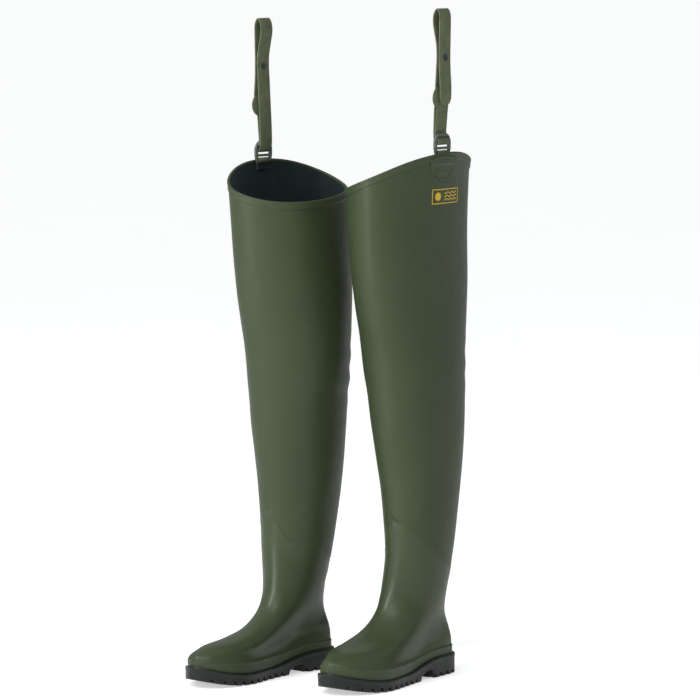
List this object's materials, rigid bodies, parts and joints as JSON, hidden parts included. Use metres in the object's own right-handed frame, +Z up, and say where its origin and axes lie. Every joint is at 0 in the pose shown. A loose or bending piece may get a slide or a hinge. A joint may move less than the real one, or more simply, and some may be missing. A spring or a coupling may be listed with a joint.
{
  "type": "hip waders",
  "caption": "Pair of thigh-high PVC wading boots with moulded cleated soles, reinforced rims and adjustable straps that button round a belt.",
  "frame": {"origin": "on the floor, under the centre of the pair's bounding box", "axes": "+Z up, the toes point to -Y, the wearer's left is +X"},
  "size_m": [0.3042, 0.4093, 1.0109],
  "materials": {
    "sole_rubber": "matt moulded PVC, dark green black",
    "foxing_rubber": "satin moulded band with knurled toe",
    "boot_pvc": "satin moulded PVC",
    "leg_pvc": "satin PVC over knitted cloth",
    "hem_pvc": "satin PVC tape",
    "strap_web": "matt coated webbing",
    "buckle_plastic": "moulded nylon, fine grain",
    "lining_cloth": "dark teal knitted cloth",
    "label_print": "printed outline",
    "stud_metal": "blackened brass",
    "shank_steel": "zinc plated"
  },
  "bodies": {
    "right_boot": {"right_outsole": "sole_rubber", "right_foxing": "foxing_rubber", "right_boot_shell": "boot_pvc", "right_leg_lower": "leg_pvc", "right_leg_knee": "leg_pvc", "right_boot_lining": "lining_cloth", "right_knee_lining": "lining_cloth", "right_insole": "lining_cloth", "right_shank": "shank_steel"},
    "right_thigh": {"right_leg_thigh": "leg_pvc", "right_hem_band": "hem_pvc", "right_anchor_patch": "hem_pvc", "right_anchor_loop": "strap_web", "right_label": "label_print", "right_thigh_lining": "lining_cloth"},
    "right_buckle": {"right_buckle": "buckle_plastic", "right_strap_wrap": "strap_web", "right_strap_run": "strap_web", "right_tail_run": "strap_web"},
    "right_strap": {"right_strap_loop": "strap_web", "right_strap_fold": "strap_web", "right_snap_stud": "stud_metal", "right_snap_post": "stud_metal"},
    "right_flap": {"right_strap_flap": "strap_web", "right_snap_cap": "stud_metal", "right_snap_socket": "stud_metal"},
    "right_tail": {"right_tail_paddle": "strap_web"},
    "left_boot": {"left_outsole": "sole_rubber", "left_foxing": "foxing_rubber", "left_boot_shell": "boot_pvc", "left_leg_lower": "leg_pvc", "left_leg_knee": "leg_pvc", "left_boot_lining": "lining_cloth", "left_knee_lining": "lining_cloth", "left_insole": "lining_cloth", "left_shank": "shank_steel"},
    "left_thigh": {"left_leg_thigh": "leg_pvc", "left_hem_band": "hem_pvc", "left_anchor_patch": "hem_pvc", "left_anchor_loop": "strap_web", "left_label": "label_print", "left_thigh_lining": "lining_cloth"},
    "left_buckle": {"left_buckle": "buckle_plastic", "left_strap_wrap": "strap_web", "left_strap_run": "strap_web", "left_tail_run": "strap_web"},
    "left_strap": {"left_strap_loop": "strap_web", "left_strap_fold": "strap_web", "left_snap_stud": "stud_metal", "left_snap_post": "stud_metal"},
    "left_flap": {"left_strap_flap": "strap_web", "left_snap_cap": "stud_metal", "left_snap_socket": "stud_metal"},
    "left_tail": {"left_tail_paddle": "strap_web"}
  },
  "joints": [
    {"name": "pair_spread", "type": "slide", "parent": "right_boot", "child": "left_boot", "axis": [1, 0, 0], "range_m": [0, 0.15]},
    {"name": "left_knee_bend", "type": "hinge", "parent": "left_boot", "child": "left_thigh", "pos_m": [0.07412, 0.1031, 0.495], "axis": [-1, 0, 0], "range_deg": [0, 55], "deforming": ["left_leg_knee", "left_knee_lining"]},
    {"name": "left_buckle_swing", "type": "hinge", "parent": "left_thigh", "child": "left_buckle", "pos_m": [0.14118, 0.09362, 0.796], "axis": [0, 1, 0], "range_deg": [-50, 48]},
    {"name": "left_strap_adjust", "type": "slide", "parent": "left_buckle", "child": "left_strap", "axis": [0, 0, 1], "range_m": [-0.01, 0.02], "deforming": ["left_strap_run"]},
    {"name": "left_tail_slide", "type": "slide", "parent": "left_buckle", "child": "left_tail", "axis": [0, 0, 1], "range_m": [-0.02, 0.01], "deforming": ["left_tail_run"]},
    {"name": "left_flap_open", "type": "hinge", "parent": "left_strap", "child": "left_flap", "pos_m": [0.14068, 0.09362, 1], "axis": [0, -1, 0], "range_deg": [0, 110], "deforming": ["left_strap_fold"]},
    {"name": "right_knee_bend", "type": "hinge", "parent": "right_boot", "child": "right_thigh", "pos_m": [-0.07412, 0.0211, 0.4788], "axis": [-1, 0, 0], "range_deg": [0, 55], "deforming": ["right_leg_knee", "right_knee_lining"]},
    {"name": "right_buckle_swing", "type": "hinge", "parent": "right_thigh", "child": "right_buckle", "pos_m": [-0.14118, 0.01162, 0.778], "axis": [0, -1, 0], "range_deg": [-50, 48]},
    {"name": "right_strap_adjust", "type": "slide", "parent": "right_buckle", "child": "right_strap", "axis": [0, 0, 1], "range_m": [-0.01, 0.02], "deforming": ["right_strap_run"]},
    {"name": "right_tail_slide", "type": "slide", "parent": "right_buckle", "child": "right_tail", "axis": [0, 0, 1], "range_m": [-0.02, 0.01], "deforming": ["right_tail_run"]},
    {"name": "right_flap_open", "type": "hinge", "parent": "right_strap", "child": "right_flap", "pos_m": [-0.14068, 0.01162, 0.982], "axis": [0, 1, 0], "range_deg": [0, 110], "deforming": ["right_strap_fold"]}
  ],
  "couplings": [
    {"joint": "left_tail_slide", "follows": "left_strap_adjust", "ratio": -1},
    {"joint": "right_tail_slide", "follows": "right_strap_adjust", "ratio": -1}
  ]
}
